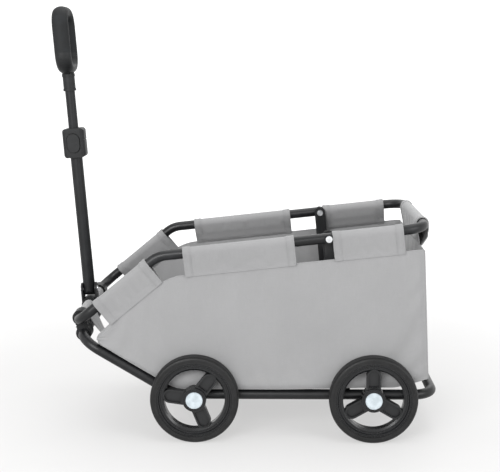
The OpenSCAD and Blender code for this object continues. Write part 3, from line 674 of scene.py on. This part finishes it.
def sleeve_path(bottom=(11.3, -FLAP_DROP - 1.0), standoff=14.3):
    """Points round a tube: up the outer face, over the top, and down inside to the seam."""
    outer = 12.4
    points = [Vector((standoff, bottom[1])), Vector((outer + 0.5, -FLAP_DROP * 0.55)),
              Vector((outer, -8)), Vector((outer, 0))]
    tangent = math.acos(outer / math.hypot(*bottom))
    last = math.atan2(bottom[1], bottom[0]) - tangent + 2 * math.pi
    steps = 16
    for k in range(1, steps + 1):
        t = last * k / steps
        points.append(Vector((outer * math.cos(t), outer * math.sin(t))))
    points.append(Vector(bottom))
    return points


def resample(points, count):
    """The same path in equal steps, and its length."""
    lengths = [0.0]
    for a, b in zip(points, points[1:]):
        lengths.append(lengths[-1] + (b - a).length)
    found = []
    for k in range(count + 1):
        at = lengths[-1] * k / count
        i = next((n for n in range(len(lengths) - 1) if lengths[n + 1] >= at), len(lengths) - 2)
        share = (at - lengths[i]) / max(lengths[i + 1] - lengths[i], 1e-9)
        found.append(points[i].lerp(points[i + 1], share))
    return found, lengths[-1]


def flap(name, start, end, out, path):
    """A cloth wrapped over a tube from start to end; out is the side it hangs on."""
    counts = (40, 34)
    around, length = resample(path, counts[1])
    along = (end - start).normalized()
    out = Vector(out)
    up = along.cross(out) if along.cross(out).z > 0 else out.cross(along)
    up.normalize()
    flat = ((end - start).length, length * MM)

    def shape(u, v):
        n, t = around[round(v * counts[1])]
        edge = min(u, 1 - u) * flat[0] / MM
        flare = 0.7 * math.exp(-edge / 7.0)
        hollow = (4.0 if v > 0.5 else -1.1) * math.sin(math.pi * min(max((-t - 4) / 44.0, 0), 1))
        bow = hollow * min(edge / 18.0, 1)
        radial = Vector((n, t)).normalized() if t > -8 else Vector((1 if n > 0 else -1, 0))
        n, t = n + radial.x * flare + bow, t + radial.y * flare
        return start.lerp(end, u) + (out * n + up * t) * MM

    made = Cloth(name, counts, flat, shape, FLAP_CANVAS_SHADED)
    wrapped = range(int(counts[1] * 0.34), int(counts[1] * 0.66))
    made.hang(lambda i, j: j in (0, counts[1]) or j in wrapped or
              (i in (0, counts[0]) and j % 3 == 0), 0.006, 3.0)
    return made


SPANS = {"1": (58.0, 205.0), "2": (231.5, 468.0), "3": (549.0, 698.0)}
flaps = {}
for side_name, side in SIDES.items():
    for number, (a, b) in SPANS.items():
        if number == "1":
            start = place(a * math.cos(SLOPE_A), side * SIDE_Y, HINGE_Z + a * math.sin(SLOPE_A))
            end = place(b * math.cos(SLOPE_A), side * SIDE_Y, HINGE_Z + b * math.sin(SLOPE_A))
        else:
            start, end = (place(x, side * SIDE_Y, top_z(x)) for x in (a, b))
        flaps[f"{side_name}_{number}"] = flap(
            f"flap_{side_name}_{number}", start, end, (0, side, 0), sleeve_path())
REAR_FLAP_HALF = 135.0
flaps["rear"] = flap(
    "flap_rear_cloth", place(RIM_LEN, -REAR_FLAP_HALF, RIM_REAR_Z),
    place(RIM_LEN, REAR_FLAP_HALF, RIM_REAR_Z),
    (1, 0, 0), sleeve_path(bottom=(-3.0, -FLAP_DROP - 1.0), standoff=-1.4))


def front_sleeve(name, y0, y1):
    """A cloth wrapped round the crossbar, its two ends sewn together below it."""
    counts, radius, steps = (20, 30), 12.3, 24
    path = [Vector((2.0, -14.5))]
    for k in range(steps + 1):
        t = math.radians(-72 + 324 * k / steps)
        path.append(Vector((radius * math.cos(t), radius * math.sin(t))))
    path.append(Vector((2.0, -14.0)))
    around, length = resample(path, counts[1])
    start, end = place(0, y0, HINGE_Z), place(0, y1, HINGE_Z)

    def shape(u, v):
        n, t = around[round(v * counts[1])]
        return start.lerp(end, u) + Vector((n, 0, t)) * MM

    return Cloth(name, counts, ((end - start).length, length * MM), shape)


sleeves = {"left": front_sleeve("front_sleeve_left", -110, -27),
           "right": front_sleeve("front_sleeve_right", 27, 110)}

# ---------- simulate, stitch and finish the cloth ----------

HUNG = [*walls.values(), floor, rear, *straps.values(), *flaps.values()]
LAST_STEP = 25
for step in range(1, LAST_STEP + 1):
    SCENE.frame_set(step)
for cloth in HUNG:
    cloth.settle()
SCENE.frame_set(1)

BLEND = (place(0, 0, 108), place(0, 0, 345))


def ride_tub(piece):
    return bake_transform(piece)


def raised(cloth, probe, direction):
    """Where what is sewn on a cloth lies, in mm along its normal, to be on the side it shows."""
    return 0.8 if cloth.at(*probe)[1].dot(Vector(direction)) > 0 else -0.8


def run_u(v, u0=0.0, u1=1.0, steps=60):
    return [(u0 + (u1 - u0) * k / steps, v) for k in range(steps + 1)]


def run_v(u, v0=0.0, v1=1.0, steps=40):
    return [(u, v0 + (v1 - v0) * k / steps) for k in range(steps + 1)]


for key, cloth in flaps.items():
    out = (1, 0, 0) if key == "rear" else (0, SIDES[key.split("_")[0]], 0)
    lift = raised(cloth, (0.5, 0.1), out)
    width = cloth.size[0] / MM
    seams = []
    for inset in (3.6, 14.0):
        for u in (inset / width, 1 - inset / width):
            seams.append(run_v(u, 0.02, 0.98))
    threads = [thread_run(f"flap_{key}_seam_{n}", cloth, run, lift * 2.4)
               for n, run in enumerate(seams)]
    threads += [thread_run(f"flap_{key}_foot_{n}", cloth, run_u(v, 0.02, 0.98), lift)
                for n, v in enumerate((0.022, 0.055))]
    near, far = 0.3 / width, 17.0 / width
    hems = [hem_band(f"flap_{key}_hem_{n}", cloth, ends, lift)
            for n, ends in enumerate(((near, far), (1 - far, 1 - near)))]
    piece = cloth.finish()
    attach(piece, "rim")
    for part in (*threads, *hems):
        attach(part, "rim")

WALL_STEPS = 160
for side_name, cloth in walls.items():
    lift = raised(cloth, (0.5, 0.5), (0, SIDES[side_name], 0))
    threads = [thread_run(f"wall_{side_name}_seam_{n}", cloth, run, lift) for n, run in enumerate([
        run_u(0.035, 0.01, 0.985, WALL_STEPS), run_v(0.985, 0.03, 0.97),
        run_v(0.991, 0.03, 0.97)])]
    edge = trim(f"wall_{side_name}_binding", cloth, run_u(1.0, steps=WALL_STEPS), 1.25)
    hem = trim(f"wall_{side_name}_hem", cloth, run_u(0.0, steps=WALL_STEPS), 1.3)
    corner = trim(f"wall_{side_name}_corner", cloth, run_v(1.0, steps=60), 1.5)
    piece = cloth.finish()
    for part in (piece, *threads, edge, hem, corner):
        ride_tub(part)
    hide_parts(f"tub_{side_name}")

# Each with its free edge, the run of stitches beside that, and the side it shows
for cloth, node, edge, stitched, out in (
        (floor, "tub_floor", run_v(1.0), run_v(1.0 - 0.014), (0, 0, 1)),
        (rear, "tub_rear", run_u(0.0), run_u(0.03), (1, 0, 0))):
    hem = trim(f"{node}_hem", cloth, edge, 1.5, HEM_CANVAS)
    seam = thread_run(f"{node}_seam", cloth, stitched, raised(cloth, (0.5, 0.5), out))
    piece = cloth.finish()
    for part in (piece, hem, seam):
        ride_tub(part)
    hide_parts(node)

for side_name, cloth in straps.items():
    hems = [trim(f"strap_{side_name}_hem_{n}", cloth, run_v(u, steps=STRAP_GRID[1]), 1.2)
            for n, u in enumerate((0.0, 1.0))]
    piece = cloth.finish()
    for part in (piece, *hems):
        ride_tub(part)
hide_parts("tub_front")

for side_name, cloth in sleeves.items():
    piece = cloth.finish()
    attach(piece, "rim")

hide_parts("flaps_left")
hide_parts("flaps_right")
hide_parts("flap_rear")
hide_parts("sleeves_front")


# ---------- studio ----------

def floor_finish():
    """Pale studio floor, which glows a little and more towards its raised edge."""
    f = Finish("studio_floor")
    faint = f.grain(f.place, 3.0, 3.0)
    x, y, _ = f.parts(f.place)
    glow = ((x * x + y * y) ** 0.5).between(0.5, 2.6)
    return f.surface(base_color=f.tint(faint, (0.20, 0.20, 0.20), (0.22, 0.22, 0.22)),
                     roughness=0.7, emission_strength=1.0,
                     emission_color=f.tint(glow, (0.5, 0.497, 0.494), (1.0, 1.0, 1.0)))


# A disc whose edge curves up in rings, each 7 degrees steeper than the one before
FLOOR_RADIUS, RINGS, RING_WIDTH, RING_TURN = 5.0, 12, 0.42, 7.0
deselect()
bpy.ops.mesh.primitive_circle_add(vertices=96, radius=FLOOR_RADIUS, fill_type="NGON")
studio = named("studio_floor", floor_finish())
bpy.ops.object.mode_set(mode="EDIT")
bpy.ops.mesh.select_mode(type="EDGE")
reach = FLOOR_RADIUS
for step in range(1, RINGS + 1):
    bpy.ops.mesh.select_all(action="DESELECT")
    edit = bmesh.from_edit_mesh(studio.data)
    for edge in edit.edges:
        edge.select = edge.is_boundary
    bmesh.update_edit_mesh(studio.data)
    angle = math.radians(RING_TURN * step)
    grown, rise = reach + RING_WIDTH * math.cos(angle), RING_WIDTH * math.sin(angle)
    bpy.ops.mesh.extrude_edges_move()
    bpy.ops.transform.resize(value=(grown / reach, grown / reach, 1.0))
    bpy.ops.transform.translate(value=(0, 0, rise))
    reach = grown
bpy.ops.object.mode_set(mode="OBJECT")
bpy.ops.object.shade_smooth()


def panel_light(name, location, target, size, power):
    light = bpy.data.lights.new(name, "AREA")
    light.shape, light.size, light.size_y = "RECTANGLE", size[0], size[1]
    light.energy = power
    holder = bpy.data.objects.new(name, light)
    SCENE.collection.objects.link(holder)
    holder.location = location
    holder.rotation_euler = (Vector(target) - Vector(location)).to_track_quat("-Z", "Y").to_euler()


panel_light("key", (-1.4, -3.3, 1.8), (0, 0, 0.3), (2.2, 1.4), 125)
panel_light("fill", (2.6, -2.4, 1.5), (0, 0, 0.3), (1.8, 1.6), 50)
panel_light("top", (0.2, 0.3, 3.0), (0, 0, 0.2), (3.0, 2.4), 50)
panel_light("back", (0.6, 2.6, 2.0), (0, 0, 0.4), (2.4, 1.2), 10)

world = bpy.data.worlds.new("studio")
world.use_nodes = True
world.node_tree.nodes["Background"].inputs["Color"].default_value = (1, 1, 1, 1)
world.node_tree.nodes["Background"].inputs["Strength"].default_value = 1.0
SCENE.world = world
SCENE.view_settings.view_transform = "Standard"

lens = bpy.data.cameras.new("camera")
lens.lens, lens.sensor_width = 76.91, 36.0
camera = bpy.data.objects.new("camera", lens)
SCENE.collection.objects.link(camera)
camera.location = place(405.0, -2427.0, 825.9)
camera.rotation_euler = (math.radians(90 - 9.72), 0, math.radians(0.79))
SCENE.camera = camera
